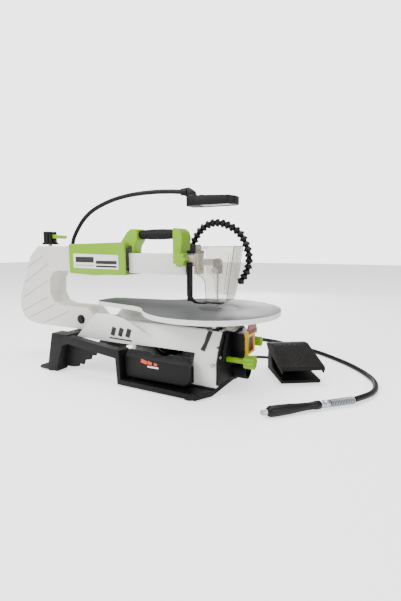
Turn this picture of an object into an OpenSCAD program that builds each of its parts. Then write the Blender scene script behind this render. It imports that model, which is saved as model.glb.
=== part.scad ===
/* [Saw] */
// Distance from the mid-point of the bench holes to the blade
blade_x = 185; // [184:1:186]
// Height of the work table's top face
table_top = 150; // [149:0.5:151]
// Radius of the round front of the table
table_r = 128; // [120:1:130]
// Half width of the table's narrow tail
tail_half = 34; // [30:1:38]
// Table plate thickness with its rim
table_t = 9; // [8:0.5:10]

/* [Frame] */
// Half thickness of the C-shaped frame shells
frame_half = 24; // [23:0.5:24.5]
// Wall thickness of the frame and body shells
wall = 3; // [2.5:0.5:3.5]
// Top of the upper arm housing
arm_top = 265; // [264:0.5:266]
// Underside of the upper arm housing
arm_low = 210; // [209:0.5:211]

/* [Mechanism] */
// X of both rocker pivots
pivot_x = -138; // [-140:1:-136]
// Height of the lower rocker pivot
pivot_low = 104; // [103.5:0.5:104.5]
// Height of the upper rocker pivot
pivot_high = 235; // [234.5:0.5:235.5]
// X of the rear tension rod
rod_x = -252; // [-253:1:-251]
// Crank throw of the motor eccentric
crank_throw = 4; // [3:0.5:5]
// X of the motor axis
motor_x = 60; // [58:1:62]
// Height of the motor axis
motor_z = 62; // [60:1:64]

/* [Base] */
// Bench hole spacing along the saw
bolt_dx = 340; // [336:1:344]
// Bench hole spacing across the saw
bolt_dy = 160; // [156:1:162]
// Radius of the bench holes
bolt_r = 4; // [3.5:0.5:4.5]

/* [Accessories] */
// Diameter of the flexible shaft
flex_d = 10; // [9:0.5:11]
// Diameter of the pedal cable
cable_d = 6; // [5:0.5:7]
// Collet bore radius for a 3.2 mm shank
collet_r = 1.6; // [1.5:0.1:1.6]

/* [Hidden] */
$fn = 48;
eps = 0.01;
pin_gap = 0.05;
pad_h = 2.5;
body_half = 50;
plate_x = 207;
plate_t = 4;
guard_x = 140;
guard_z = 262;
lamp_x = -181;
tension_z = 268.5;
table_x0 = -88;
lobe_x = 300 - table_r;

// ---------- curves shared by the cords, leads and hoses ----------
function unit(v) = v / norm(v);
function blend4(a, b, c, d, t) =
  0.5 * (2 * b + (c - a) * t + (2 * a - 5 * b + 4 * c - d) * t * t + (3 * b - a - 3 * c + d) * t * t * t);
function smooth_path(p, k) = concat(
  [for (i = [0 : len(p) - 2]) for (j = [0 : k - 1])
    blend4(p[max(i - 1, 0)], p[i], p[i + 1], p[min(i + 2, len(p) - 1)], j / k)],
  [p[len(p) - 1]]);
function tangents(c) = [for (i = [0 : len(c) - 1]) unit(c[min(i + 1, len(c) - 1)] - c[max(i - 1, 0)])];
function normals(t, i, last) = i == len(t) ? [] :
  let (n = unit(last - (last * t[i]) * t[i])) concat([n], normals(t, i + 1, n));

module swept_tube(route, r, sides, k, start_normal) {
  c = smooth_path(route, k);
  t = tangents(c);
  n = normals(t, 0, start_normal);
  rings = len(c);
  points = [for (i = [0 : rings - 1]) for (j = [0 : sides - 1])
    c[i] + r * (cos(360 * j / sides) * n[i] + sin(360 * j / sides) * cross(t[i], n[i]))];
  skin = [for (i = [0 : rings - 2]) for (j = [0 : sides - 1])
    [i * sides + j, (i + 1) * sides + j, (i + 1) * sides + (j + 1) % sides, i * sides + (j + 1) % sides]];
  start_cap = [[for (j = [0 : sides - 1]) j]];
  end_cap = [[for (j = [sides - 1 : -1 : 0]) (rings - 1) * sides + j]];
  polyhedron(points, concat(skin, start_cap, end_cap), convexity = 10);
}

module y_cyl(x, z, y0, y1, r) {
  translate([x, y1, z]) rotate([90, 0, 0]) cylinder(r = r, h = y1 - y0);
}

module x_cyl(x0, x1, y, z, r) {
  translate([x0, y, z]) rotate([0, 90, 0]) cylinder(r = r, h = x1 - x0);
}

module z_cyl(x, y, z0, z1, r) {
  translate([x, y, z0]) cylinder(r = r, h = z1 - z0);
}

module box(x0, x1, y0, y1, z0, z1) {
  translate([x0, y0, z0]) cube([x1 - x0, y1 - y0, z1 - z0]);
}

// A plate drawn in side view (x, z) and given its thickness across the saw
module side_plate(y0, y1) {
  translate([0, y1, 0]) rotate([90, 0, 0]) linear_extrude(y1 - y0) children();
}

module soft_corners(r) {
  offset(r = r) offset(delta = -2 * r) offset(r = r) children();
}

module star_2d(r, lobes) {
  circle(r = r * 0.8);
  for (i = [0 : lobes - 1]) rotate(360 * i / lobes) translate([r * 0.72, 0]) circle(r = r * 0.28);
}

// ---------- base ----------
module bench_holes(z0, z1) {
  for (x = [-1, 1], y = [-1, 1]) z_cyl(x * bolt_dx / 2, y * bolt_dy / 2, z0, z1, bolt_r);
}

module base_pan() {
  color("#1c1d1f") difference() {
    union() {
      // rear legs with their splayed foot plates
      for (s = [-1, 1]) {
        side_plate(s < 0 ? -90 : 62, s < 0 ? -62 : 90)
          polygon([[-198, pad_h], [-198, 9], [-173, 13], [-157, 84], [-112, 84], [-112, 66],
                   [-128, 60], [-146, 13], [-146, pad_h]]);
        // side rail between the leg and the pan
        side_plate(s < 0 ? -90 : 74, s < 0 ? -74 : 90)
          polygon([[-130, 84], [-60, 77], [22, 69], [22, 52], [-60, 60], [-118, 66]]);
        // web behind the leg, its lower edge stepped
        side_plate(s < 0 ? -68 : 64, s < 0 ? -64 : 68)
          polygon([[-150, 8], [-121, 10], [-106, 13], [-104, 20], [-92, 19], [-88, 29], [-71, 33], [-68, 42],
                   [-57, 43], [-52, 62], [-118, 70], [-136, 60]]);
        // pan end wall that rises beside the storage bin
        side_plate(s < 0 ? -90 : 58, s < 0 ? -58 : 90)
          polygon([[12, 70], [22, 66], [25, pad_h], [17, pad_h]]);
      }
      // cross members under the frame
      box(-157, -129.5, -63, 63, 66, 79);
      box(-60, -36, -75, 75, 58, 69);
      // front pan: floor plate and a sloping skirt with a cut-back front corner
      translate([0, 0, pad_h]) linear_extrude(10)
        polygon([[17, -90], [186, -90], [203, -58], [203, 58], [186, 90], [17, 90]]);
      translate([0, 0, pad_h]) linear_extrude(13)
        polygon([[30, -54], [200, -54], [200, 54], [30, 66]]);
    }
    // the pan is open below between its ribs
    box(34, 150, -52, 52, pad_h - eps, 11);
    bench_holes(-1, 40);
    // clearance for the body cover's foot flange screws
    for (s = [-1, 1]) z_cyl(120, s * 40, 9, 30, 2.1);
  }
}

module rubber_feet() {
  color("#2a2a2a") for (x = [-1, 1], y = [-1, 1]) difference() {
    z_cyl(x * bolt_dx / 2, y * bolt_dy / 2, 0, pad_h, 9.5);
    z_cyl(x * bolt_dx / 2, y * bolt_dy / 2, -1, pad_h + 1, bolt_r);
  }
}

// ---------- C-shaped frame ----------
frame_outline = [[-266, arm_top], [-295, 241], [-316, 196], [-338, 146], [-341, 118], [-331, 97],
  [-308, 84], [-280, 80], [-66, 82], [-66, 112], [-98, 112], [-118, 131], [-197, 131], [-222, 137], [-234, 158], [-232, 190],
  [-222, 205], [-206, arm_low], [-12, arm_low], [-12, arm_top]];

module frame_2d(inset) {
  offset(delta = -inset) offset(r = 5, $fn = 24) offset(delta = -5) polygon(frame_outline);
}

module frame_shell(side) {
  y0 = side < 0 ? -frame_half : 0;
  difference() {
    side_plate(y0, y0 + frame_half) frame_2d(0);
    side_plate(side < 0 ? -frame_half + wall : -1, side < 0 ? 1 : frame_half - wall) frame_2d(wall);
    // both arms of the frame are open at the front for the rockers
    box(-20, 0, -frame_half + wall, frame_half - wall, arm_low + wall, arm_top - wall);
    box(-75, -60, -frame_half + wall, frame_half - wall, 85, 128);
    // pivot pin bores
    for (z = [pivot_low, pivot_high]) y_cyl(pivot_x, z, -40, 40, 5);
    // slot for the tension rod
    z_cyl(rod_x, 0, arm_top - 10, arm_top + 5, 10);
    // lamp neck socket
    z_cyl(lamp_x, 0, arm_top - 10, arm_top + 5, 7);
  }
}

module frame_left() { color("#e6e5e1") frame_shell(-1); }
module frame_right() { color("#e6e5e1") frame_shell(1); }

module arm_cover() {
  color("#a9dc2c") difference() {
    union() {
      side_plate(-28, 28) soft_corners(2, $fn = 24)
        polygon([[-162, 206], [-90, 203], [-60, 205], [-8, 206], [-8, 272], [-162, 269]]);
      // sloping riser from the saddle up to the grip
      side_plate(-14, 14) soft_corners(3, $fn = 24)
        polygon([[-36, 262], [-12, 292], [-2, 298], [13, 298], [13, 276], [5, 266], [1, 250], [-36, 250]]);
      // front post, clamped on the arm housing
      side_plate(-17, 17) soft_corners(3, $fn = 24)
        polygon([[99, 298], [108, 297], [116, 291], [119, 282], [116, 246], [99, 246]]);
    }
    box(-170, 0, -frame_half - 0.1, frame_half + 0.1, arm_low - 0.1, arm_top + 0.1);
    box(0, 126, -14.1, 14.1, 205, 250.1);
    // the grip's ends sit in sockets
    x_cyl(2, 109, 0, 287, 5.5);
    box(rod_x - 10, lamp_x + 11, -40, 40, 190, 280);
  }
}

module arm_housing() {
  color("#f1f1ee") difference() {
    box(-8, 125, -14, 14, arm_low, 250);
    box(-9, 126, -11, 11, arm_low + 3, 247);
    // side panel grooves
    for (s = [-1, 1]) box(2, 94, s * 14 - 0.6, s * 14 + 0.6, 242, 243.4);
    // clamp bore of the hold-down knob
    y_cyl(120, 239, -20, -10, 3.05);
  }
}

module handle_grip() {
  color("#232427") union() {
    translate([13.2, 0, 287]) rotate([0, 90, 0]) rotate_extrude()
      polygon([[0, 0], [8.6, 0], [9.4, 8], [10.2, 42], [9.4, 77], [8.6, 85.6], [0, 85.6]]);
    x_cyl(3, 14, 0, 287, 5.4);
    x_cyl(98, 108, 0, 287, 5.4);
  }
}

module label_plate() {
  color("#f6f6f4") side_plate(-28.8, -28) soft_corners(1, $fn = 16)
    polygon([[-149, 218], [-24, 217], [-24, 246], [-149, 249]]);
}

// ---------- white lower body ----------
// Cross sections of the cover's right half, each with its x; the wall leans in to clear the tilted table
body_wall = [[50, 15], [50, 60], [48, 84], [45.5, 106], [43, 126]];
body_front = [[50, 15], [50, 60], [44.5, 75], [36.5, 92], [25, 111]];
wall_stations = [
  [-130, body_wall], [-30, body_wall],
  [2, [[50, 15], [50, 60], [48, 83], [45.5, 103], [43.5, 119]]],
  [30, [[50, 15], [50, 60], [48, 81], [46, 96], [44.8, 107]]],
  [48, [[50, 15], [50, 60], [47.5, 78], [45, 89], [43.8, 97]]],
  [66, [[50, 15], [50, 60], [46, 76], [41, 86], [37, 93]]],
  [84, [[50, 15], [50, 60], [45, 74], [38, 89], [29, 104]]],
  [105, body_front], [plate_x, body_front]
];
ridge_stations = [[-20, body_front], [plate_x, body_front]];

module body_loft(inset, stations) {
  half = len(body_wall);
  count = 2 * half;
  lift = [for (i = [0 : half - 1]) i == 0 ? 0 : i == half - 1 ? -inset : 0];
  points = [for (s = stations) for (j = [0 : count - 1])
    let (i = j < half ? j : count - 1 - j, side = j < half ? 1 : -1)
    [s[0], side * (s[1][i][0] - inset), s[1][i][1] + lift[i]]];
  skin = [for (k = [0 : len(stations) - 2]) for (j = [0 : count - 1])
    [k * count + j, (k + 1) * count + j, (k + 1) * count + (j + 1) % count, k * count + (j + 1) % count]];
  start_cap = [[for (j = [0 : count - 1]) j]];
  end_cap = [[for (j = [count - 1 : -1 : 0]) (len(stations) - 1) * count + j]];
  polyhedron(points, concat(skin, start_cap, end_cap), convexity = 6);
}

module body_solid(inset, stations) {
  intersection() {
    body_loft(inset, stations);
    side_plate(-body_half - 1, body_half + 1) offset(delta = -inset)
      polygon([[-128, 71], [-74, 127], [plate_x, 127], [plate_x, 15.5], [22, 15.5], [22, 71]]);
  }
}

module body_cover() {
  color("#f1f1ee") difference() {
    union() {
      // side walls, open above; the rear ones stand beside the table's tail
      difference() {
        body_solid(0, wall_stations);
        body_solid(wall, wall_stations);
        box(-140, 60, -40.5, 40.5, 85, 140);
      }
      // sloped ridge under the table
      difference() {
        body_solid(0, ridge_stations);
        body_solid(wall, ridge_stations);
      }
    }
    // frame's lower arm, rocker slot, blade clamp and motor
    box(-140, -50, -frame_half - 0.1, frame_half + 0.1, 60, 140);
    side_plate(-frame_half - 0.1, frame_half + 0.1) frame_2d(-0.1);
    box(-130, plate_x - 10, -12.5, 12.5, 85, 140);
    box(170, plate_x - 10, -20, 20, 100, 140);
    y_cyl(motor_x, motor_z, 0, 60, 30.1);
    // window where the front plate closes the body
    box(plate_x - 5, plate_x + 5, -40, 47, 13, 88);
    // bottom is open to the pan
    box(60, 190, -40, 40, 10, 20);
    // window for the storage bin
    box(30, 162, -60, -22, 16.6, 73);
    box(-110, 12, -44, 44, 65, 76);
  }
}

module front_plate() {
  color("#1f2022") difference() {
    translate([plate_x, 0, 0]) rotate([90, 0, 90]) linear_extrude(plate_t)
      soft_corners(3, $fn = 16)
      polygon([[-51, 20], [-51, 62], [-45.5, 77], [-37, 94], [-25, 112], [21, 114], [60, 112], [88, 96], [88, 40],
        [66, 20]]);
    x_cyl(plate_x - 1, plate_x + 10, 30, 30, 17.5);
    x_cyl(plate_x - 1, plate_x + 10, -14, 60, 3 + pin_gap);
    x_cyl(plate_x - 1, plate_x + 10, 78, 76, 3 + pin_gap);
  }
}

module dust_port() {
  color("#1a1b1d") difference() {
    union() {
      x_cyl(plate_x - 4, plate_x + 30, 30, 30, 17.4);
      x_cyl(plate_x + plate_t, plate_x + plate_t + 2, 30, 30, 21);
    }
    x_cyl(plate_x - 5, plate_x + 31, 30, 30, 15);
  }
}

switch_x0 = plate_x + plate_t;
switch_x1 = switch_x0 + 26;

module switch_housing() {
  color("#1b1c1e") difference() {
    box(switch_x0, switch_x1, 4, 60, 60, 104);
    box(switch_x0 + 3, switch_x1 + 1, 12, 48, 66, 98);
  }
}

module switch_bezel() {
  color("#d8b52a") difference() {
    union() {
      box(switch_x1, switch_x1 + 4, 8, 52, 63, 101);
      for (y = [5.5, 51.5]) box(switch_x1, switch_x1 + 7, y, y + 3, 99, 110);
      y_cyl(switch_x1 + 5, 107, 6, 54, 1.25);
    }
    box(switch_x1 - 1, switch_x1 + 5, 17, 43, 67.5, 96);
  }
}

module start_button() {
  color("#2e6b35") union() {
    box(switch_x1 - 4, switch_x1 + 3, 18, 29.6, 69, 95);
    x_cyl(switch_x1 - 14, switch_x1 - 4, 24, 82, 2);
  }
}

module stop_button() {
  color("#8d1b1f") union() {
    box(switch_x1 - 4, switch_x1 + 4, 30.4, 42, 69, 95);
    x_cyl(switch_x1 - 14, switch_x1 - 4, 36, 82, 2);
  }
}

// hinged flap above the switch
module stop_flap() {
  color("#7c1a1e") union() {
    difference() {
      y_cyl(switch_x1 + 5, 107, 9, 51, 3);
      y_cyl(switch_x1 + 5, 107, 0, 60, 1.3);
    }
    box(switch_x1 + 4.2, switch_x1 + 6.6, 9, 51, 109.5, 121);
  }
}

module speed_knob() {
  color("#a9dc2c") difference() {
    union() {
      x_cyl(plate_x - 8, plate_x + 19, 78, 76, 3);
      translate([plate_x + 18, 78, 76]) rotate([0, 90, 0]) linear_extrude(20) star_2d(9.5, 10);
    }
    // pointer groove in the face
    box(plate_x + 37, plate_x + 39, 77.2, 78.8, 79, 90);
  }
}

// ---------- table support ----------
module trunnion_seat() {
  color("#c9c9c6") intersection() {
    difference() {
      x_cyl(switch_x0, switch_x0 + 11, 0, table_top, 40);
      x_cyl(switch_x0 - 1, switch_x0 + 12, 0, table_top, 34.3);
    }
    translate([switch_x0, 0, 0]) rotate([90, 0, 90]) linear_extrude(11)
      polygon([[0, table_top], [-30, table_top - 56], [30, table_top - 56]]);
  }
}

module table_outline(inset) {
  offset(delta = -inset) offset(r = -70, $fn = 120) offset(delta = 70, $fn = 120) union() {
    translate([lobe_x, 0]) circle(r = table_r, $fn = 96);
    hull() for (s = [-1, 1]) translate([table_x0 + 24, s * (tail_half - 23)]) circle(r = 24, $fn = 48);
    polygon([[table_x0 + 24, -tail_half - 1], [60, -57], [lobe_x, -57], [lobe_x, 57], [60, 57],
      [table_x0 + 24, tail_half + 1]]);
  }
}

module table_plate() {
  color("#a4a5a6") difference() {
    translate([0, 0, table_top - table_t]) linear_extrude(table_t) table_outline(0);
    // ribbed underside is hollow inside the rim
    translate([0, 0, table_top - table_t - 1]) linear_extrude(5) difference() {
      table_outline(7);
      translate([blade_x, 0]) circle(r = 44);
      translate([213, 0]) square([40, 64], center = true);
    }
    z_cyl(blade_x, 0, table_top - 2.5, table_top + 1, 37.2);
    z_cyl(blade_x, 0, table_top - table_t - 1, table_top + 1, 31);
  }
}

module table_insert() {
  color("#4c4d50") difference() {
    z_cyl(blade_x, 0, table_top - 2.5, table_top, 37);
    box(blade_x - 6, blade_x + 9, -3.6, 3.6, table_top - 4, table_top + 1);
  }
}

module table_trunnion() {
  color("#c9c9c6") intersection() {
    x_cyl(switch_x0 + 0.6, switch_x0 + 10.4, 0, table_top, 34);
    box(switch_x0, switch_x0 + 12, -40, 40, 60, table_top - table_t);
  }
}

module tilt_lock_knob() {
  color("#a9dc2c") union() {
    x_cyl(plate_x - 9, plate_x + plate_t + 2, -14, 60, 3);
    x_cyl(switch_x0 + 1, 248, -14, 60, 5);
    translate([247, -14, 60]) rotate([0, 90, 0]) linear_extrude(18) star_2d(12.5, 8);
  }
}

// ---------- storage bin ----------
module storage_bin() {
  color("#202123") difference() {
    union() {
      translate([32, 0, 0]) rotate([90, 0, 90]) linear_extrude(128)
        polygon([[-74, 18], [-74, 54], [-66, 50], [-24, 34], [-24, 18]]);
      // front panel: a finger notch in its top edge, its shoulder cut back to clear the tilted table
      intersection() {
        side_plate(-78, -61) soft_corners(4, $fn = 24)
          polygon([[28, 68.5], [72, 68.5], [80, 64], [112, 64], [120, 68.5], [158, 68.5], [168, 60], [168, 29],
                   [158, 20], [28, 18]]);
        translate([27, 0, 0]) rotate([90, 0, 90]) linear_extrude(142)
          polygon([[-78, 17], [-78, 57.5], [-67, 68.5], [-63.5, 68.5], [-63.5, 60], [-71, 52], [-71, 17]]);
      }
      // hinge rod along the bottom edge, and the latch bump in the notch
      x_cyl(32, 160, -74, 20.5, 2.4);
      box(88, 104, -69.5, -66, 62, 66);
    }
    translate([34.5, 0, 0]) rotate([90, 0, 90]) linear_extrude(123)
      polygon([[-71, 23.2], [-71, 52], [-63.5, 60], [-63.5, 80], [-26.5, 80], [-26.5, 23.2]]);
  }
}

// ---------- motor ----------
module motor_housing() {
  color("#2b2d30") difference() {
    y_cyl(motor_x, motor_z, 16, 118, 30);
    y_cyl(motor_x, motor_z, 19, 119, 27);
    y_cyl(motor_x, motor_z, 15, 20, 4 + pin_gap);
  }
}

module motor_end_bell() {
  color("#1c1d1f") difference() {
    union() {
      y_cyl(motor_x, motor_z, 118, 128, 30);
      y_cyl(motor_x, motor_z, 128, 138, 9);
    }
    y_cyl(motor_x, motor_z, 117, 121, 26);
    y_cyl(motor_x, motor_z, 110, 137, 4 + pin_gap);
  }
}

module motor_rotor() {
  color("#9b8f7a") union() {
    y_cyl(motor_x, motor_z, 12, 134, 4);
    y_cyl(motor_x, motor_z, 34, 92, 18);
    y_cyl(motor_x, motor_z, 98, 112, 23);
  }
}

module eccentric() {
  color("#b9bcc0") difference() {
    union() {
      y_cyl(motor_x, motor_z, 10, 14, 9);
      y_cyl(motor_x + crank_throw, motor_z, 4.8, 11, 3);
    }
    y_cyl(motor_x, motor_z, 12, 15, 4);
  }
}

rod_pin_z = 97;

module connecting_rod() {
  color("#b9bcc0") difference() {
    union() {
      y_cyl(motor_x, rod_pin_z, 5, 9, 7);
      box(motor_x - 4, motor_x + 4, 5, 9, motor_z + 13, rod_pin_z);
      y_cyl(motor_x, motor_z, 5, 9, 15.5);
      y_cyl(motor_x, rod_pin_z, -4, 6, 2.5);
    }
    // the big end is left wide round the crank pin
    y_cyl(motor_x, motor_z, 4, 10, 12.5);
  }
}

module air_bellows() {
  color("#3a3a3c") union() {
    z_cyl(178, -18, 15.5, 62, 7);
    for (i = [0 : 4]) z_cyl(178, -18, 30 + 7 * i, 33.5 + 7 * i, 12);
  }
}

// ---------- rocker arms and blade ----------
module pivot_pins() {
  color("#b9bcc0") for (z = [pivot_low, pivot_high]) y_cyl(pivot_x, z, -frame_half, frame_half, 5);
}

module pivot_cap() {
  color("#18191a") union() {
    y_cyl(pivot_x, pivot_low, -frame_half - 2, -frame_half, 10);
    y_cyl(pivot_x, pivot_low, -frame_half - 4, -frame_half - 2, 8.5);
  }
}

module arm_bores(z, front_r) {
  y_cyl(pivot_x, z, -10, 10, 5 + pin_gap);
  y_cyl(rod_x, z, -10, 10, 3 + pin_gap);
  y_cyl(blade_x, z, -10, 10, front_r + pin_gap);
}

module lower_arm() {
  color("#8e9296") difference() {
    union() {
      side_plate(-4, 4) polygon([[rod_x, pivot_low - 7], [pivot_x, pivot_low - 11], [-104, 90],
        [150, 91], [blade_x, pivot_low - 7], [blade_x, pivot_low + 6], [150, 103], [-104, 104],
        [pivot_x, pivot_low + 11], [rod_x, pivot_low + 7]]);
      for (x = [rod_x, blade_x]) y_cyl(x, pivot_low, -4, 4, 7);
      y_cyl(pivot_x, pivot_low, -12, 12, 11);
    }
    arm_bores(pivot_low, 3);
    y_cyl(pivot_x, pivot_low, -13, 13, 5 + pin_gap);
    y_cyl(motor_x, rod_pin_z, -5, 5, 2.5 + pin_gap);
  }
}

module upper_arm() {
  color("#8e9296") difference() {
    union() {
      side_plate(-4, 4) polygon([[rod_x, pivot_high - 7], [pivot_x, pivot_high - 12], [-60, 222],
        [0, 227], [150, 229], [blade_x, pivot_high - 6], [blade_x, pivot_high + 6], [150, 240],
        [0, 240], [-60, 246], [pivot_x, pivot_high + 12], [rod_x, pivot_high + 7]]);
      for (x = [rod_x, blade_x]) y_cyl(x, pivot_high, -4, 4, 7);
      y_cyl(pivot_x, pivot_high, -12, 12, 11);
    }
    arm_bores(pivot_high, 3);
    y_cyl(pivot_x, pivot_high, -13, 13, 5 + pin_gap);
  }
}

module blade() {
  color("#d7dade") difference() {
    box(blade_x - 1.5, blade_x + 1.5, -0.4, 0.4, 113, 226);
    // saw teeth on the front edge
    for (i = [0 : 19]) translate([blade_x + 1.5, 0, 140 + 3 * i]) rotate([90, 0, 0])
      linear_extrude(2, center = true) polygon([[0.1, -1.5], [0.1, 1.5], [-0.8, -1.2]]);
  }
}

// Two cheeks and a clamp block hung on the arm's end pin
module blade_clamp(pin_z, block_z0, block_z1) {
  for (s = [-1, 1]) side_plate(s < 0 ? -8 : 4.3, s < 0 ? -4.3 : 8) hull() {
    translate([blade_x, pin_z]) circle(r = 6, $fn = 32);
    translate([blade_x - 6, block_z0]) square([12, block_z1 - block_z0]);
  }
  difference() {
    box(blade_x - 6, blade_x + 6, -8, 8, block_z0, block_z1);
    box(blade_x - 1.5, blade_x + 1.5, -0.4, 0.4, block_z0 - 1, block_z1 + 1);
  }
  y_cyl(blade_x, pin_z, -8, 8, 3);
}

module blade_clamps() {
  color("#3a3c3f") union() {
    blade_clamp(pivot_high, 214, 226);
    blade_clamp(pivot_low, 113, 122);
  }
}

module clamp_screws() {
  color("#d0d3d6") union() {
    // the lower thumb screw is smaller, to clear the tilted table
    for (p = [[220, 6], [117.5, 4.2]]) {
      y_cyl(blade_x, p[0], -11, -8, 2.5);
      y_cyl(blade_x, p[0], -14.8, -11, p[1]);
    }
  }
}

module tension_rod() {
  color("#a9adb1") union() {
    for (s = [-1, 1]) box(rod_x - 5, rod_x + 5, s < 0 ? -8 : 4.3, s < 0 ? -4.3 : 8, pivot_low - 6, pivot_high + 14);
    box(rod_x - 5, rod_x + 5, -8, 8, 130, 210);
    box(rod_x - 5, rod_x + 5, -8, 8, pivot_high + 10, pivot_high + 16);
    z_cyl(rod_x, 0, pivot_high + 15, tension_z, 4);
    for (z = [pivot_low, pivot_high]) y_cyl(rod_x, z, -8, 8, 3);
    z_cyl(rod_x, 0, tension_z, tension_z + 8, 3);
  }
}

module tension_knob() {
  color("#1a1b1c") difference() {
    union() {
      z_cyl(rod_x, 0, tension_z + 0.4, tension_z + 5, 18);
      translate([rod_x, 0, tension_z + 5]) linear_extrude(25) star_2d(15, 10);
    }
    z_cyl(rod_x, 0, tension_z - 1, tension_z + 9, 3 + pin_gap);
    // slot for the quick-release lever
    box(rod_x - 6.5, rod_x + 20, -4.4, 4.4, tension_z + 12, tension_z + 40);
  }
  color("#1a1b1c") y_cyl(rod_x, tension_z + 19, -8, 8, 2);
}

module tension_lever() {
  color("#a9dc2c") difference() {
    union() {
      y_cyl(rod_x, tension_z + 19, -4, 4, 5);
      side_plate(-4, 4) polygon([[rod_x, tension_z + 15], [rod_x + 46, tension_z + 13],
        [rod_x + 52, tension_z + 16], [rod_x + 50, tension_z + 20], [rod_x, tension_z + 24]]);
      translate([rod_x + 40, 0, tension_z + 13.5]) cylinder(r = 8, h = 5.5);
    }
    y_cyl(rod_x, tension_z + 19, -5, 5, 2 + pin_gap);
  }
}

// ---------- nose, hold-down and guard ----------
module nose_casting() {
  color("#cfc7b6") difference() {
    union() {
      box(142, 150, -12, 12, 212, 250);
      for (s = [-1, 1]) side_plate(s < 0 ? -11 : 7, s < 0 ? -7 : 11)
        polygon([[125, 230], [143, 226], [143, 248], [125, 246]]);
      // boss that carries the hold-down post
      box(128, 142, -13, -7, 229, 247);
    }
    box(141, 151, -5.5, 5.5, 219, 247.6);
  }
}

module hold_down_post() {
  color("#1b1c1e") union() {
    difference() {
      box(130, 140, -18.6, -13.2, 171, 234);
      side_plate(-20, -17) hull() for (z = [186, 226]) translate([135, z]) circle(r = 1.6, $fn = 24);
    }
  }
}

module hold_down_foot() {
  color("#17181a") union() {
    box(130.5, 139.5, -18, -13.4, 162, 171);
    side_plate(-18, -13.4) polygon([[131, 171], [139.5, 171], [143, 166], [150, 161.5], [160, 160.5],
      [160, 158.2], [148, 158.2], [139, 162], [131, 166]]);
    difference() {
      box(156, 196, -18, 7, 158.2, 160.6);
      box(172, 200, -2.5, 2.5, 150, 170);
      box(168, 200, -20, -7, 150, 170);
    }
  }
}

module hold_down_knob() {
  color("#a9dc2c") union() {
    y_cyl(120, 239, -19, -11.5, 3);
    side_plate(-31, -19) translate([120, 239]) star_2d(13.5, 7);
  }
}

module guard_bracket() {
  color("#202124") union() {
    box(126, 152, -11, 11, 250, 256);
    for (s = [-1, 1]) side_plate(s < 0 ? -11 : 8.3, s < 0 ? -8.3 : 11)
      polygon([[134, 256], [146, 256], [145, 265], [142, 267], [138, 267], [135, 265]]);
    y_cyl(guard_x, guard_z, -11, 11, 2);
  }
}

module guard_side_2d() {
  polygon([[150, 263], [226, 264], [212, 165], [171, 168], [169, 199], [163, 208], [154, 212], [150, 222]]);
}

module blade_guard() {
  color([0.93, 0.92, 0.86, 0.45]) difference() {
    union() {
      y_cyl(guard_x, guard_z, -8, 8, 5);
      box(guard_x + 2, guard_x + 12, -8, 8, 259.5, 263);
      box(151, 156, -21, 21, 258, 264);
      for (s = [-1, 1]) side_plate(s < 0 ? -21 : 19, s < 0 ? -19 : 21) guard_side_2d();
      side_plate(-21, 21) polygon([[226, 264], [212, 165], [210, 165], [224, 264]]);
    }
    y_cyl(guard_x, guard_z, -9, 9, 2 + pin_gap);
    // vertical slot beside the front corner
    side_plate(-22, -18) hull() for (p = [[218, 250], [209, 182]]) translate(p) circle(r = 1.8, $fn = 24);
    // the far wall is cut short so that the tilted table passes below it
    translate([150, 0, 0]) rotate([90, 0, 90]) linear_extrude(90)
      polygon([[8, 150], [30, 150], [30, 184], [8, 162]]);
  }
}

hose_route = [[112, 30, 254], [116, 30, 266], [124, 30, 282], [138, 30, 298], [158, 30, 307],
  [180, 30, 306], [200, 30, 298], [216, 30, 286], [228, 30, 266], [234, 30, 242], [230, 30, 218],
  [216, 30, 196]];

module air_hose() {
  color("#1a1b1c") swept_tube(hose_route, 6.5, 12, 4, [0, 1, 0]);
  color("#1a1b1c") difference() {
    y_cyl(112, 246, 17.1, 37, 9);
    z_cyl(112, 30, 252, 260, 20);
  }
}

// ---------- lamp ----------
neck_route = [[-181, 0, 266], [-176, 0, 280], [-163, 0, 300], [-143, 0, 322], [-116, 0, 340], [-82, 0, 353],
  [-45, 0, 362], [-5, 0, 367], [40, 0, 368.5], [80, 0, 367], [108, 0, 364.5]];

module gooseneck() {
  color("#17181a") union() {
    swept_tube(neck_route, 4.2, 12, 5, [0, 1, 0]);
    z_cyl(lamp_x, 0, arm_top - 8, arm_top + 2, 7 - pin_gap);
  }
}

module lamp_neck() {
  color("#1b1c1e") difference() {
    union() {
      x_cyl(109.2, 122, 0, 364, 6.5);
      side_plate(-4, 4) polygon([[114, 370], [126, 371], [138, 363], [138, 351], [128, 351], [114, 358]]);
      y_cyl(134, 355, -4, 4, 6);
    }
    y_cyl(134, 355, -5, 5, 2 + pin_gap);
  }
}

module lamp_head() {
  color("#1a1b1d") difference() {
    union() {
      translate([0, 0, 336]) linear_extrude(17) soft_corners(6, $fn = 24)
        polygon([[126, -15], [150, -21], [212, -20], [221, -11], [221, 11], [212, 20], [150, 21], [126, 15]]);
      y_cyl(134, 355, -8, 8, 2);
      for (s = [-1, 1]) box(129, 139, s < 0 ? -8 : 4.4, s < 0 ? -4.4 : 8, 350, 357);
      z_cyl(152, 0, 352, 356, 5);
    }
    box(126, 143, -4.4, 4.4, 345, 360);
    translate([0, 0, 335]) linear_extrude(6) polygon([[150, -16], [211, -15], [211, 15], [150, 16]]);
    // the top falls away towards the tip
    side_plate(-30, 30) polygon([[160, 353.2], [230, 349.5], [230, 360], [160, 360]]);
  }
  color("#1a1b1d") y_cyl(134, 355, -8, 8, 2);
}

module lamp_lens() {
  color([0.95, 0.95, 0.92, 0.8]) translate([0, 0, 337]) linear_extrude(4)
    polygon([[150.2, -15.8], [210.8, -14.8], [210.8, 14.8], [150.2, 15.8]]);
}

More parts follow.
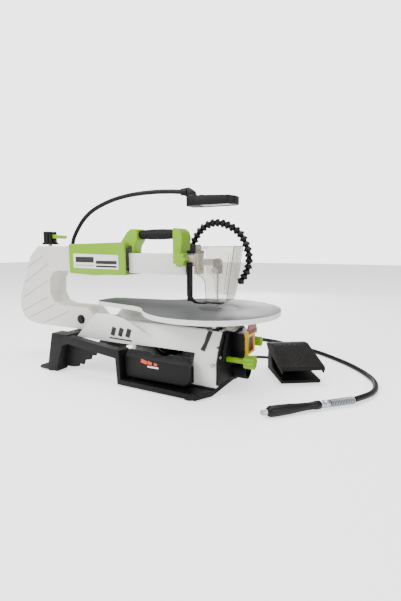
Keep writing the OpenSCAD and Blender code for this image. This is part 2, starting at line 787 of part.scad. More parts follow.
// ---------- small fittings ----------
module clipped_leads() {
  color("#151515") union() {
    swept_tube([[213, -20, 108], [214, -27, 96], [214, -34, 84], [214, -36, 72], [213, -31, 64]], 1.6, 8, 3, [1, 0, 0]);
    swept_tube([[213, -14, 110], [214, -21, 98], [214, -28, 86], [214, -30, 76], [213, -26, 68]], 1.6, 8, 3, [1, 0, 0]);
    box(switch_x0, 215, -38, -24, 78, 81);
  }
}

module cover_screws() {
  color("#c6c9cc") union() {
    for (p = [[-43, 70], [80, 50], [72, 100]]) x_cyl(switch_x0, switch_x0 + 1.6, p[0], p[1], 3.2);
    for (p = [[-306, 112], [-272, 250], [-300, 196]]) y_cyl(p[0], p[1], frame_half, frame_half + 1.2, 3.2);
    // ball-headed screw on the near corner of the body
    y_cyl(203, 58, -body_half - 5, -body_half, 2);
    translate([203, -body_half - 7, 58]) sphere(r = 3.6);
  }
}

module mains_inlet() {
  color("#161616") union() {
    y_cyl(150, 46, body_half, body_half + 4, 10);
    y_cyl(150, 46, body_half + 4, body_half + 14, 6.5);
    // gland of the pedal cable
    y_cyl(40, 30, body_half, body_half + 14, 5);
  }
}

// ---------- foot pedal ----------
pedal_at = [297, 127, 0];
pedal_turn = -57;

module at_pedal() {
  translate(pedal_at) rotate([0, 0, pedal_turn]) children();
}

module pedal_base() {
  color("#1d1a17") at_pedal() difference() {
    union() {
      side_plate(-38, 38) polygon([[-52, 0], [48, 0], [54, 4], [54, 8], [10, 10], [-14, 14], [-28, 36], [-52, 40]]);
      for (s = [-1, 1]) side_plate(s < 0 ? -38 : 32, s < 0 ? -32 : 38) polygon([[-52, 38], [-30, 34], [-36, 53], [-50, 53]]);
      y_cyl(-44, 47, -38, 38, 2.5);
    }
    // hollow moulding, open to the floor at the toe
    side_plate(-34, 34) polygon([[-48, 3], [-20, 3], [-32, 33], [-48, 35]]);
  }
}

module pedal_treadle() {
  color("#241f1a") at_pedal() difference() {
    union() {
      side_plate(-31.4, 31.4) polygon([[-51, 44], [-51, 57], [-36, 59], [-30, 54], [-30, 46], [-40, 42.5]]);
      side_plate(-42, 42) polygon([[-52, 54.5], [-50, 58], [-30, 60], [60, 37], [64, 31], [60, 29], [-28, 54]]);
      for (y = [-42, 39]) side_plate(y, y + 3) polygon([[-52, 54.5], [-28, 57], [60, 32], [60, 24], [10, 36], [-40, 45]]);
    }
    y_cyl(-44, 47, -40, 40, 2.5 + pin_gap);
  }
}

// the cable runs from its gland to the coil, and from the coil to the pedal's heel
cable_out = [[40, 64, 30], [40, 80, 29], [38, 98, 22], [32, 112, 10], [22, 124, 3.4], [4, 136, 3.4],
  [-14, 148, 3.4],
  [-30, 160, 3.4], [-35, 174, 3.4], [-37, 188, 3.4]];
cable_in = [[-58, 156, 30.5], [-42, 153, 24], [-20, 151, 12], [4, 152, 4], [30, 156, 3.4], [66, 163, 3.4],
  [104, 172, 3.4], [142, 184, 3.4], [178, 198, 3.4], [208, 211, 3.4], [232, 214, 3.4], [250, 204, 4],
  [260, 188, 7], [267, 174, 9]];
coil_at = [-70, 190];
coil_r = 33;
coil_h = 35;

module pedal_cable() {
  color("#141414") for (route = [cable_out, cable_in]) swept_tube(route, cable_d / 2, 8, 3, [1, 0, 0.1]);
}

module cable_coil() {
  color("#141414") translate([coil_at[0], coil_at[1], 0]) rotate_extrude()
    translate([coil_r - cable_d / 2, 0]) square([cable_d, coil_h]);
}

// ---------- flexible shaft and handpiece ----------
flex_route = [[motor_x, 138, motor_z], [60, 160, 61], [61, 190, 54], [64, 225, 40], [70, 262, 22], [80, 298, 9],
  [94, 330, 5.4], [116, 356, 5.4], [148, 368, 5.4], [190, 362, 5.4], [230, 346, 5.4], [275, 328, 5.4],
  [320, 303, 5.4], [362, 269, 5.4], [398, 234, 5.4], [428, 194, 5.4], [448, 154, 5.4], [454, 116, 5.4],
  [451, 86, 6], [442, 60, 7.5], [425.5, 27.5, 9]];
hand_at = [304, -93, 9];
hand_turn = 44.6;

module at_hand() {
  translate(hand_at) rotate([0, 0, hand_turn]) rotate([0, 90, 0]) children();
}

module flex_shaft() {
  color("#151617") swept_tube(flex_route, flex_d / 2, 8, 3, [1, 0, 0]);
}

module handpiece() {
  color("#1b1c1d") at_hand() difference() {
    union() {
      translate([0, 0, 10]) rotate_extrude() polygon([[0, 0], [6, 0], [8.6, 5], [9, 14], [8, 44], [6.6, 60],
        [6.3, 82], [6.8, 90], [6.8, 96], [5, 96], [5, 110], [6, 112], [6, 160], [0, 160]]);
    }
    translate([0, 0, 9]) cylinder(r = 3.5 + pin_gap, h = 20);
  }
}

module collet() {
  color("#c6c9cc") at_hand() difference() {
    union() {
      translate([0, 0, 2]) cylinder(r = 4.6, h = 7.7);
      translate([0, 0, 0]) cylinder(r = 3.4, h = 3);
      translate([0, 0, 9]) cylinder(r = 3.5, h = 16);
    }
    translate([0, 0, -1]) cylinder(r = collet_r, h = 19);
  }
}

base_pan();
rubber_feet();
frame_left();
frame_right();
arm_cover();
arm_housing();
handle_grip();
label_plate();
body_cover();
front_plate();
dust_port();
switch_housing();
switch_bezel();
start_button();
stop_button();
stop_flap();
speed_knob();
trunnion_seat();
motor_housing();
motor_end_bell();
motor_rotor();
eccentric();
connecting_rod();
air_bellows();
pivot_pins();
pivot_cap();
clipped_leads();
cover_screws();
mains_inlet();
storage_bin();
table_plate();
table_insert();
table_trunnion();
tilt_lock_knob();
lower_arm();
upper_arm();
blade();
blade_clamps();
clamp_screws();
tension_rod();
tension_knob();
tension_lever();
nose_casting();
hold_down_post();
hold_down_foot();
hold_down_knob();
blade_guard();
guard_bracket();
air_hose();
gooseneck();
lamp_neck();
lamp_head();
lamp_lens();
pedal_base();
pedal_treadle();
pedal_cable();
cable_coil();
flex_shaft();
handpiece();
collet();
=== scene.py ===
import bpy
import bmesh
from math import cos, pi, radians, sin
from mathutils import Euler, Matrix, Vector


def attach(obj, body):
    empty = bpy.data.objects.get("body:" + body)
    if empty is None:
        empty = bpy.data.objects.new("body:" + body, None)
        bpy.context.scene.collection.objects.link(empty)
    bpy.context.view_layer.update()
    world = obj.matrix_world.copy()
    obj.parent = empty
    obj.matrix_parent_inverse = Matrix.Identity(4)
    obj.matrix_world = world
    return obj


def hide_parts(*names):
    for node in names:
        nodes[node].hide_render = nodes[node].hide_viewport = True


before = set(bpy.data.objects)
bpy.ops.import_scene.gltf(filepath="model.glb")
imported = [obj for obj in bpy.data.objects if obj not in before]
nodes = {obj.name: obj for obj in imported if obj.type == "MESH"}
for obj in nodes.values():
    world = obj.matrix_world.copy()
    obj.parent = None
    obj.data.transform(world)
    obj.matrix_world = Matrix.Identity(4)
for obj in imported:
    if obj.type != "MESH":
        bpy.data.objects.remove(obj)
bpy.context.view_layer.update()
scene = bpy.context.scene

# ---- Camera ----------------------------------------------------------------
# Stands at bench height off the saw's front left corner, with a wide lens.
camera_data = bpy.data.cameras.new("studio_camera")
camera_data.lens = 22.1
camera_data.clip_start = 0.05
camera = bpy.data.objects.new("studio_camera", camera_data)
scene.collection.objects.link(camera)
camera.location = (0.4746, -0.6121, 0.2592)
AZIMUTH = radians(28.0)
PITCH = radians(8.0)
view = Vector((-sin(AZIMUTH) * cos(PITCH), cos(AZIMUTH) * cos(PITCH), -sin(PITCH)))
camera.rotation_euler = view.to_track_quat("-Z", "Y").to_euler()
scene.camera = camera

# ---- Flexible shaft and pedal cable ----------------------------------------
# The shaft is a steel core in a smooth PVC sheath, 10 mm thick, from the motor's
# drive outlet to the handpiece. The pedal cable is a 6 mm round PVC lead whose
# spare length is wound behind the saw.
MM = 0.001


def linear(code):
    """sRGB hex to linear RGBA."""
    values = [int(code[i:i + 2], 16) / 255 for i in (1, 3, 5)]
    return tuple(v / 12.92 if v <= 0.04045 else ((v + 0.055) / 1.055) ** 2.4 for v in values) + (1.0,)


def add(tree, kind, settings=None, **links):
    """Adds a shader node, sets its fields and sockets, and links what is a socket."""
    made = tree.nodes.new(kind)
    for key, value in (settings or {}).items():
        setattr(made, key, value)
    for key, value in links.items():
        socket = made.inputs[int(key[1:])] if key[1:].isdigit() else made.inputs[key.replace("_", " ")]
        if isinstance(value, bpy.types.NodeSocket):
            tree.links.new(value, socket)
        else:
            socket.default_value = value
    return made


def start_material(name, **fixed):
    """A principled surface with its fixed values, and the object coordinates to pattern it."""
    material = bpy.data.materials.new(name)
    material.use_nodes = True
    tree = material.node_tree
    surface = tree.nodes["Principled BSDF"]
    for key, value in fixed.items():
        surface.inputs[key.replace("_", " ")].default_value = value
    place = add(tree, "ShaderNodeTexCoord").outputs["Object"]
    return material, tree, surface, place


def grained(name, light, dark, grain_mm, depth, rough, blotch_mm=30.0, **fixed):
    """Moulded or painted surface: slow colour drift, fine grain in bump, uneven gloss."""
    material, tree, surface, place = start_material(name, **fixed)
    drift = add(tree, "ShaderNodeTexNoise", Vector=place, Scale=1000 / blotch_mm, Detail=3.0)
    grain = add(tree, "ShaderNodeTexNoise", Vector=place, Scale=1000 / grain_mm, Detail=2.0)
    tint = add(tree, "ShaderNodeMix", {"data_type": "RGBA"}, s0=drift.outputs["Fac"],
               s6=linear(light), s7=linear(dark))
    tree.links.new(tint.outputs[2], surface.inputs["Base Color"])
    gloss = add(tree, "ShaderNodeMapRange", Value=grain.outputs["Fac"], To_Min=rough - 0.06, To_Max=rough + 0.08)
    tree.links.new(gloss.outputs[0], surface.inputs["Roughness"])
    bump = add(tree, "ShaderNodeBump", Height=grain.outputs["Fac"], Strength=depth, Distance=0.3 * MM)
    tree.links.new(bump.outputs[0], surface.inputs["Normal"])
    return material


# PVC sheath: smooth extruded plastic with a soft sheen
pvc_sheath = grained("extruded_pvc_sheath", "#070708", "#040405", 0.8, 0.15, 0.38, Specular_IOR_Level=0.25)


def smooth_points(points, steps):
    """Catmull-Rom curve through the points."""
    out = []
    last = len(points) - 1
    for i in range(last):
        a, b, c, d = (Vector(points[min(max(i + k, 0), last)]) for k in (-1, 0, 1, 2))
        for j in range(steps):
            t = j / steps
            out.append(0.5 * (2 * b + (c - a) * t + (2 * a - 5 * b + 4 * c - d) * t * t
                              + (3 * b - a - 3 * c + d) * t ** 3))
    return out + [Vector(points[-1])]


def tube_curve(name, points, radius, material, body):
    """A round cord as one open poly spline, its points in millimetres."""
    data = bpy.data.curves.new(name, "CURVE")
    data.dimensions = "3D"
    data.bevel_depth = radius * MM
    data.bevel_resolution = 4
    data.use_fill_caps = True
    spline = data.splines.new("POLY")
    spline.points.add(len(points) - 1)
    for spot, point in zip(spline.points, points):
        spot.co = (*(Vector(point) * MM), 1.0)
    spline.use_smooth = True
    data.materials.append(material)
    piece = bpy.data.objects.new(name, data)
    scene.collection.objects.link(piece)
    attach(piece, body)
    return piece


FLEX_ROUTE = [(60, 138, 62), (60, 160, 61), (61, 190, 54), (64, 225, 40), (70, 262, 22), (80, 298, 9),
              (94, 330, 5.4), (116, 356, 5.4), (148, 368, 5.4), (190, 362, 5.4), (230, 346, 5.4),
              (275, 328, 5.4), (320, 303, 5.4), (362, 269, 5.4), (398, 234, 5.4), (428, 194, 5.4),
              (448, 154, 5.4), (454, 116, 5.4), (451, 86, 6), (442, 60, 7.5), (425.5, 27.5, 9)]
flex_line = smooth_points(FLEX_ROUTE, 6)
flex = tube_curve("flexible_shaft", flex_line, 5.0, pvc_sheath, "root")
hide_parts("flex_shaft")

CABLE_OUT = [(40, 64, 30), (40, 80, 29), (38, 98, 22), (32, 112, 10), (22, 124, 4.2), (4, 136, 3.4),
             (-14, 148, 3.4), (-30, 160, 3.4), (-35, 174, 3.4)]
CABLE_IN = [(-42, 153, 24), (-20, 151, 12), (4, 152, 4), (30, 156, 3.4), (66, 163, 3.4),
            (104, 172, 3.4), (142, 184, 3.4), (178, 198, 3.4), (208, 211, 3.4), (232, 214, 3.4),
            (250, 204, 4), (260, 188, 7), (267, 174, 9)]
COIL_AT = Vector((-70, 190, 3.4))
COIL_R = 33.0
COIL_TURNS = 4.7
COIL_PITCH = 6.05
TURN_POINTS = 24
coil = []
for i in range(int(COIL_TURNS * TURN_POINTS) + 1):
    turn = i / TURN_POINTS
    coil.append(COIL_AT + Vector((COIL_R * cos(2 * pi * turn), COIL_R * sin(2 * pi * turn), COIL_PITCH * turn)))
cable_line = smooth_points(CABLE_OUT, 5) + coil + smooth_points(CABLE_IN, 5)
cable = tube_curve("pedal_lead", cable_line, 3.0, pvc_sheath, "root")
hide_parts("pedal_cable", "cable_coil")

# ---- C-shaped frame --------------------------------------------------------
# Two shells bolted together, sprayed in warm white enamel. Six diagonal grooves
# run across their rear half on both sides, drawn as thin grey lines of painted shade.
enamel = grained("sprayed_white_enamel", "#e9e7e1", "#dfdcd4", 1.6, 0.12, 0.36, blotch_mm=60.0)
enamel.node_tree.nodes["Principled BSDF"].inputs["Coat Weight"].default_value = 0.25


def dress(material, *names):
    """Gives CAD nodes a material."""
    for name in names:
        slots = nodes[name].data.materials
        slots.clear()
        slots.append(material)


WELD_MM = 0.01
SMOOTH_BELOW = radians(32)
BEVEL_ABOVE = radians(40)
BEVEL_SEGMENTS = 3
shading = bpy.data.node_groups.new("smooth_by_angle", "GeometryNodeTree")
shading.interface.new_socket("Geometry", in_out="INPUT", socket_type="NodeSocketGeometry")
shading.interface.new_socket("Geometry", in_out="OUTPUT", socket_type="NodeSocketGeometry")
given = shading.nodes.new("NodeGroupInput")
angle = add(shading, "GeometryNodeInputMeshEdgeAngle")
shallow = add(shading, "FunctionNodeCompare", {"operation": "LESS_THAN"}, s0=angle.outputs[0], s1=SMOOTH_BELOW)
plain = add(shading, "GeometryNodeRemoveAttribute", Geometry=given.outputs[0], Name="custom_normal")
faces = add(shading, "GeometryNodeSetShadeSmooth", {"domain": "FACE"}, Geometry=plain.outputs[0], Shade_Smooth=True)
edges = add(shading, "GeometryNodeSetShadeSmooth", {"domain": "EDGE"}, Geometry=faces.outputs[0],
            Shade_Smooth=shallow.outputs[0])
shading.links.new(edges.outputs[0], shading.nodes.new("NodeGroupOutput").inputs[0])


def soften(width_mm, *names):
    """Rounds the edges of CAD nodes, whose loose triangles are welded first."""
    for name in names:
        weld = nodes[name].modifiers.new("weld", "WELD")
        weld.merge_threshold = WELD_MM * MM
        bevel = nodes[name].modifiers.new("round", "BEVEL")
        bevel.width = width_mm * MM
        bevel.segments = BEVEL_SEGMENTS
        bevel.limit_method = "ANGLE"
        bevel.angle_limit = BEVEL_ABOVE
        bevel.use_clamp_overlap = True
        nodes[name].modifiers.new("shade", "NODES").node_group = shading


def finish_piece(name, bm, material, body, *replaced, smooth=False):
    """Turns a bmesh in millimetres into a piece that rides on a body."""
    bmesh.ops.scale(bm, vec=(MM, MM, MM), verts=bm.verts)
    bmesh.ops.recalc_face_normals(bm, faces=bm.faces)
    mesh = bpy.data.meshes.new(name)
    bm.to_mesh(mesh)
    bm.free()
    for face in mesh.polygons:
        face.use_smooth = smooth
    mesh.materials.append(material)
    piece = bpy.data.objects.new(name, mesh)
    scene.collection.objects.link(piece)
    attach(piece, body)
    if replaced:
        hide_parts(*replaced)


def add_block(bm, size, place, turn=(0, 0, 0), edge=0.3):
    """A bevelled block of this size, its centre at place."""
    made = bmesh.ops.create_cube(bm, size=1.0)["verts"]
    bmesh.ops.scale(bm, vec=size, verts=made)
    edges = list({e for v in made for e in v.link_edges})
    rounded = bmesh.ops.bevel(bm, geom=edges, offset=min(edge, min(size) * 0.3), affect="EDGES",
                              segments=2, profile=0.5, material=-1)
    verts = list({v for f in rounded["faces"] for v in f.verts} | {v for v in made if v.is_valid})
    bmesh.ops.rotate(bm, matrix=Euler(turn).to_matrix(), verts=verts)
    bmesh.ops.translate(bm, vec=place, verts=verts)


def lathe(profile, steps):
    """A bmesh turned about Z: the profile is (distance along the axis, radius) in millimetres."""
    bm = bmesh.new()
    verts = [bm.verts.new((r, 0, s)) for s, r in profile]
    edges = [bm.edges.new(pair) for pair in zip(verts, verts[1:])]
    bmesh.ops.spin(bm, geom=verts + edges, axis=(0, 0, 1), cent=(0, 0, 0), angle=2 * pi, steps=steps,
                   use_merge=True)
    bmesh.ops.remove_doubles(bm, verts=bm.verts, dist=WELD_MM)
    return bm


dress(enamel, "frame_left", "frame_right")
soften(3.0, "frame_left", "frame_right")

# Painted shade: thin darker grey blocks on the enamel stand in for the shade inside the grooves.
shadow_paint = grained("painted_groove_shade", "#8f8d86", "#827f78", 1.6, 0.1, 0.55)
GROOVES = [((-309, 214), (-251, 243)), ((-322, 178), (-236, 224)), ((-331, 140), (-240, 186)),
           ((-334, 108), (-240, 148)), ((-318, 90), (-224, 130)), ((-262, 84), (-176, 118))]
FRAME_FACE = 24.0
grooves = bmesh.new()
for side in (-1, 1):
    for (x0, z0), (x1, z1) in GROOVES:
        run = Vector((x1 - x0, 0, z1 - z0))
        middle = Vector(((x0 + x1) / 2, side * FRAME_FACE, (z0 + z1) / 2))
        tilt = Vector((1, 0, 0)).rotation_difference(run).to_euler()
        add_block(grooves, (run.length, 0.5, 1.3), middle, tilt, edge=0.1)
finish_piece("frame_grooves", grooves, shadow_paint, "root")

# ---- Pivot cap and screws --------------------------------------------------
# The cap is a black plastic plug pushed over the pivot; the screws, pins and the
# inner links are zinc plated steel. The other black mouldings share its plastic.
black_abs = grained("moulded_black_abs", "#08080a", "#050506", 0.7, 0.3, 0.45, Specular_IOR_Level=0.25)
zinc = grained("zinc_plated_steel", "#c9ccd0", "#a9adb3", 0.9, 0.1, 0.28, Metallic=1.0)
dress(black_abs, "pivot_cap", "front_plate", "switch_housing", "dust_port", "guard_bracket", "mains_inlet",
      "clipped_leads", "motor_end_bell")
soften(0.6, "pivot_cap", "front_plate", "switch_housing", "guard_bracket")
dress(zinc, "cover_screws", "pivot_pins", "eccentric", "connecting_rod", "tension_rod", "clamp_screws")

# ---- Arm cover and handle --------------------------------------------------
# The cover is lime ABS with the handle's rear post moulded on. The front post is
# a second lime piece, clamped on the arm. The grip is a ribbed black rubber sleeve.
lime_abs = grained("moulded_lime_abs", "#84b800", "#76a600", 0.9, 0.12, 0.38, blotch_mm=80.0)
dress(lime_abs, "arm_cover", "tension_lever", "speed_knob", "tilt_lock_knob", "hold_down_knob")
soften(2.2, "arm_cover")
soften(0.8, "tension_lever", "speed_knob", "tilt_lock_knob", "hold_down_knob")


def spun(name, profile, material, body, *replaced, at, turn=0.0):
    """A turned piece lying level, its axis along X before it is turned about Z."""
    bm = lathe(profile, 48)
    lie = Euler((0, pi / 2, 0)).to_matrix()
    bmesh.ops.rotate(bm, matrix=Matrix.Rotation(turn, 3, "Z") @ lie, verts=bm.verts)
    bmesh.ops.translate(bm, vec=at, verts=bm.verts)
    finish_piece(name, bm, material, body, *replaced, smooth=True)


grip_rubber = grained("moulded_grip_rubber", "#0d0e10", "#08090a", 0.5, 0.5, 0.6, Specular_IOR_Level=0.25)
GRIP_X0 = 12.8
GRIP_LENGTH = 86.4
GRIP_Z = 287
GRIP_END = 1.8
RINGS = 28
grip_profile = [(0, 0), (0, 7.4), (1.2, 8.6)]
for i in range(RINGS):
    share = (i + 0.5) / RINGS
    crown = 8.7 + 1.6 * sin(pi * share)
    middle = GRIP_END + share * (GRIP_LENGTH - 2 * GRIP_END)
    grip_profile += [(middle - 1.1, crown), (middle, crown - 0.12), (middle + 1.1, crown)]
grip_profile += [(GRIP_LENGTH - 1.2, 8.6), (GRIP_LENGTH, 7.4), (GRIP_LENGTH, 0)]
spun("rubber_grip", grip_profile, grip_rubber, "root", "handle_grip", at=(GRIP_X0, 0, GRIP_Z))

# ---- Label -----------------------------------------------------------------
# A white printed film in a shallow seat of the cover, with plain bars printed
# in black and lime.
label_film = grained("printed_label_film", "#f4f4f2", "#ececea", 0.6, 0.05, 0.3)
ink = grained("black_print", "#1a1a1a", "#202020", 0.5, 0.05, 0.45)
lime_ink = grained("lime_print", "#9ccf26", "#94c522", 0.5, 0.05, 0.45)
orange_ink = grained("orange_print", "#e2561d", "#c9401a", 0.5, 0.05, 0.45)
dress(label_film, "label_plate")
black_print = bmesh.new()
lime_print = bmesh.new()
LABEL_FACE = -28.9
add_block(black_print, (52, 0.3, 12), (-116, LABEL_FACE, 236), edge=0.05)
add_block(black_print, (56, 0.3, 3.8), (-56, LABEL_FACE, 222.5), edge=0.05)
add_block(black_print, (56, 0.3, 7), (-56, LABEL_FACE, 231), edge=0.05)
add_block(lime_print, (56, 0.3, 2.2), (-116, LABEL_FACE, 224), edge=0.05)
finish_piece("label_black_bars", black_print, ink, "root")
finish_piece("label_lime_bar", lime_print, lime_ink, "root")

# ---- Front arm housing and lower body --------------------------------------
# Both are moulded in cool white ABS. The body's left side is printed with three
# plain slanted bars over a line, and with a strip at its front corner.
white_abs = grained("moulded_white_abs", "#f1f1ef", "#e9e9e6", 1.1, 0.1, 0.35, blotch_mm=90.0)
dress(white_abs, "arm_housing", "body_cover")
soften(1.6, "arm_housing")
soften(1.2, "body_cover")
body_print = bmesh.new()
LEAN = radians(6)
SLANT = radians(14)
BAR_STEP = 19
for i in range(3):
    add_block(body_print, (10, 1.6, 17), (-26 + BAR_STEP * i, -47.2, 93), (-LEAN, SLANT, 0), edge=0.05)
add_block(body_print, (56, 1.6, 2.6), (-7, -48.4, 79), (-LEAN, radians(1), 0), edge=0.05)
strip = Vector((7, 18, 33))
add_block(body_print, (10, 2.2, strip.length), Vector((180, -34.8, 94.8)),
          strip.to_track_quat("Z", "Y").to_euler(), edge=0.1)
finish_piece("body_black_bars", body_print, ink, "root")

# ---- Base ------------------------------------------------------------------
# One black moulding with a fine leather grain. It stands on rubber pads, and the
# bellows inside is the same rubber.
dress(black_abs, "base_pan")
soften(2.0, "base_pan")
rubber = grained("black_rubber", "#26272a", "#1c1d1f", 0.6, 0.4, 0.7)
dress(rubber, "rubber_feet", "air_bellows")

# ---- Storage bin -----------------------------------------------------------
# A tilt-out tray, the same black ABS. Its face carries three plain orange bars
# over a white one.
dress(black_abs, "storage_bin")
soften(2.4, "storage_bin")
BIN_FACE = -78.2
mark = bmesh.new()
for i in range(3):
    add_block(mark, (13 - 3 * i, 0.5, 7 - i), (72 + 13 * i, BIN_FACE, 52 - i), (0, radians(12), 0), edge=0.05)
finish_piece("bin_orange_bars", mark, orange_ink, "bin")
mark = bmesh.new()
add_block(mark, (24, 0.5, 3), (92, BIN_FACE, 44), edge=0.05)
finish_piece("bin_white_bar", mark, label_film, "bin")

# ---- Table -----------------------------------------------------------------
# Cast aluminium, its top ground with long fine scratches and its rim painted
# white. The insert is dark anodised.
TOP_FROM = 149.6
ground_table, tree, surface, place = start_material("ground_aluminium_white_rim")
stretch = add(tree, "ShaderNodeMapping", Vector=place, Scale=(18.0, 900.0, 1.0), Rotation=(0, 0, radians(8)))
scratch = add(tree, "ShaderNodeTexNoise", Vector=stretch.outputs[0], Scale=1.0, Detail=4.0)
cloud = add(tree, "ShaderNodeTexNoise", Vector=place, Scale=18.0, Detail=3.0)
metal = add(tree, "ShaderNodeMix", {"data_type": "RGBA"}, s0=scratch.outputs["Fac"], s6=linear("#5a5b5d"),
            s7=linear("#858688"))
height = add(tree, "ShaderNodeSeparateXYZ", Vector=place)
is_top = add(tree, "ShaderNodeMath", {"operation": "GREATER_THAN"}, s0=height.outputs["Z"], s1=TOP_FROM * MM)
shown = add(tree, "ShaderNodeMix", {"data_type": "RGBA"}, s0=is_top.outputs[0], s6=linear("#e9e8e2"),
            s7=metal.outputs[2])
tree.links.new(shown.outputs[2], surface.inputs["Base Color"])
tree.links.new(is_top.outputs[0], surface.inputs["Metallic"])
gloss = add(tree, "ShaderNodeMapRange", Value=cloud.outputs["Fac"], To_Min=0.4, To_Max=0.55)
tree.links.new(gloss.outputs[0], surface.inputs["Roughness"])
bump = add(tree, "ShaderNodeBump", Height=scratch.outputs["Fac"], Strength=0.12, Distance=0.1 * MM)
tree.links.new(bump.outputs[0], surface.inputs["Normal"])
dress(ground_table, "table_plate")
soften(1.2, "table_plate")
anodised = grained("dark_anodised_aluminium", "#47484b", "#3b3c3f", 0.5, 0.15, 0.42, Metallic=0.6)
cast = grained("cast_aluminium", "#b5b4b0", "#a5a4a0", 1.2, 0.3, 0.5, Metallic=0.7)
dress(anodised, "table_insert", "motor_rotor")
chrome = grained("chromed_steel", "#6c6e72", "#4c4e52", 0.9, 0.1, 0.22, Metallic=1.0)
dress(chrome, "blade_clamps")
dress(cast, "table_trunnion", "trunnion_seat", "lower_arm", "upper_arm")

# ---- Blade and nose --------------------------------------------------------
# A spring steel blade below a cream painted zinc nose block. The hold-down's post
# and foot and the tension knob are black ABS.
blade_steel = grained("spring_steel", "#9ea1a5", "#7f8286", 0.5, 0.1, 0.3, Metallic=1.0)
cream_paint = grained("cream_painted_zinc", "#c9c0ac", "#bcb29c", 0.9, 0.2, 0.4)
dress(blade_steel, "blade")
dress(cream_paint, "nose_casting")
soften(0.8, "nose_casting", "blade_clamps")
dress(black_abs, "hold_down_post", "hold_down_foot", "tension_knob")
soften(0.5, "hold_down_post", "hold_down_foot", "tension_knob")

# ---- Guard -----------------------------------------------------------------
# Clear polycarbonate, faintly yellow. It looks thicker at its edges, which show
# as darker lines.
clear, tree, surface, place = start_material("clear_polycarbonate", Roughness=0.08, IOR=1.45)
surface.inputs["Base Color"].default_value = linear("#bdb8a4")
rim = add(tree, "ShaderNodeLayerWeight", Blend=0.35)
cover = add(tree, "ShaderNodeMapRange", Value=rim.outputs["Facing"], From_Min=0.15, From_Max=0.9, To_Min=0.2,
            To_Max=0.75)
tree.links.new(cover.outputs[0], surface.inputs["Alpha"])
dress(clear, "blade_guard")
edge_tint, tree, surface, place = start_material("polycarbonate_edge", Roughness=0.2, Alpha=0.85)
surface.inputs["Base Color"].default_value = linear("#55524a")
GUARD_HALF = 20.4
GUARD_TOP = (225.4, 263.2)
NEAR_EDGE = [GUARD_TOP, (211.4, 165.4), (171.4, 168.4), (169.4, 199), (163, 208.4), (154, 212.4), (150.6, 222),
             (151, 263)]
FAR_EDGE = [(151, 263), GUARD_TOP, (214.2, 184)]
SLOT_EDGE = [(216.2, 250), (218, 252), (219.8, 250), (210.8, 182), (209, 180), (207.2, 182), (216.2, 250)]
for name, side, outline, radius in (("guard_near_edge", -1, NEAR_EDGE, 0.7), ("guard_far_edge", 1, FAR_EDGE, 0.6)):
    tube_curve(name, [(x, side * GUARD_HALF, z) for x, z in outline], radius, edge_tint, "guard")
tube_curve("guard_front_edge", [(GUARD_TOP[0], side * GUARD_HALF, GUARD_TOP[1]) for side in (-1, 1)], 0.6, edge_tint,
           "guard")
tube_curve("guard_slot_edge", [(x, -GUARD_HALF, z) for x, z in SLOT_EDGE], 0.5, edge_tint, "guard")

# ---- Front controls --------------------------------------------------------
# Rocker keys, one red and one green, in a yellow frame. A hinged dark red flap
# hangs over them.
yellow = grained("moulded_yellow_abs", "#dcb61f", "#cda717", 0.8, 0.1, 0.35)
red = grained("moulded_red_abs", "#8c1a20", "#751519", 0.8, 0.1, 0.35)
green = grained("moulded_green_abs", "#24663a", "#1d5630", 0.8, 0.1, 0.35)
dress(yellow, "switch_bezel")
dress(red, "stop_button", "stop_flap")
dress(green, "start_button")
soften(0.6, "switch_bezel", "stop_button", "start_button")

# ---- Motor -----------------------------------------------------------------
# A black lacquered steel can. Its moulded end bell has the same black ABS as
# the housing of the switch.
lacquer = grained("black_lacquered_steel", "#0d0e10", "#08090a", 1.2, 0.12, 0.36, Specular_IOR_Level=0.3)
dress(lacquer, "motor_housing")

# ---- Lamp ------------------------------------------------------------------
# A smooth black sleeve over the gooseneck, and a flat moulded head with a
# frosted lens.
NECK_ROUTE = [(-181, 0, 262), (-176, 0, 280), (-163, 0, 300), (-143, 0, 322), (-116, 0, 340), (-82, 0, 353),
              (-45, 0, 362), (-5, 0, 367), (40, 0, 368.5), (80, 0, 367), (109, 0, 364.4)]
neck = tube_curve("gooseneck_sleeve", smooth_points(NECK_ROUTE, 10), 4.3, pvc_sheath, "root")
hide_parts("gooseneck")
dress(black_abs, "lamp_neck", "lamp_head")
soften(2.0, "lamp_head")
soften(0.8, "lamp_neck")
frosted = grained("frosted_acrylic", "#eceae2", "#e0ded6", 1.5, 0.2, 0.5)
dress(frosted, "lamp_lens")

# ---- Air hose --------------------------------------------------------------
# A chain of snap-together ball and socket beads in black acetal, from a short
# round seat in the side of the arm.
HOSE_ROUTE = [(112, 30, 254), (116, 30, 266), (124, 30, 282), (138, 30, 298), (158, 30, 307), (180, 30, 306),
              (200, 30, 298), (216, 30, 286), (228, 30, 266), (234, 30, 242), (230, 30, 218), (216, 30, 196)]
BEAD_PITCH = 10.5
BEAD_PROFILE = [(-5.6, 0), (-5.6, 4.2), (-4.4, 4.8), (-1.4, 7.2), (0.6, 8.0), (1.8, 7.0), (3.2, 4.4), (5.2, 3.8),
                (5.8, 0)]
SEAT_AT = (112, 25.7, 246)
SEAT_R = 9
SEAT_LENGTH = 23
acetal = grained("moulded_black_acetal", "#060607", "#040405", 0.7, 0.15, 0.38, Specular_IOR_Level=0.3)
hose_line = smooth_points(HOSE_ROUTE, 24)
hose = bmesh.new()
walked = 0.0
next_bead = 2.0
for a, b in zip(hose_line, hose_line[1:]):
    walked += (b - a).length
    if walked < next_bead:
        continue
    next_bead += BEAD_PITCH
    bead = lathe(BEAD_PROFILE, 20)
    bmesh.ops.transform(bead, matrix=(b - a).to_track_quat("Z", "Y").to_matrix().to_4x4(), verts=bead.verts)
    bmesh.ops.translate(bead, vec=b, verts=bead.verts)
    whole = bpy.data.meshes.new("bead")
    bead.to_mesh(whole)
    bead.free()
    hose.from_mesh(whole)
    bpy.data.meshes.remove(whole)
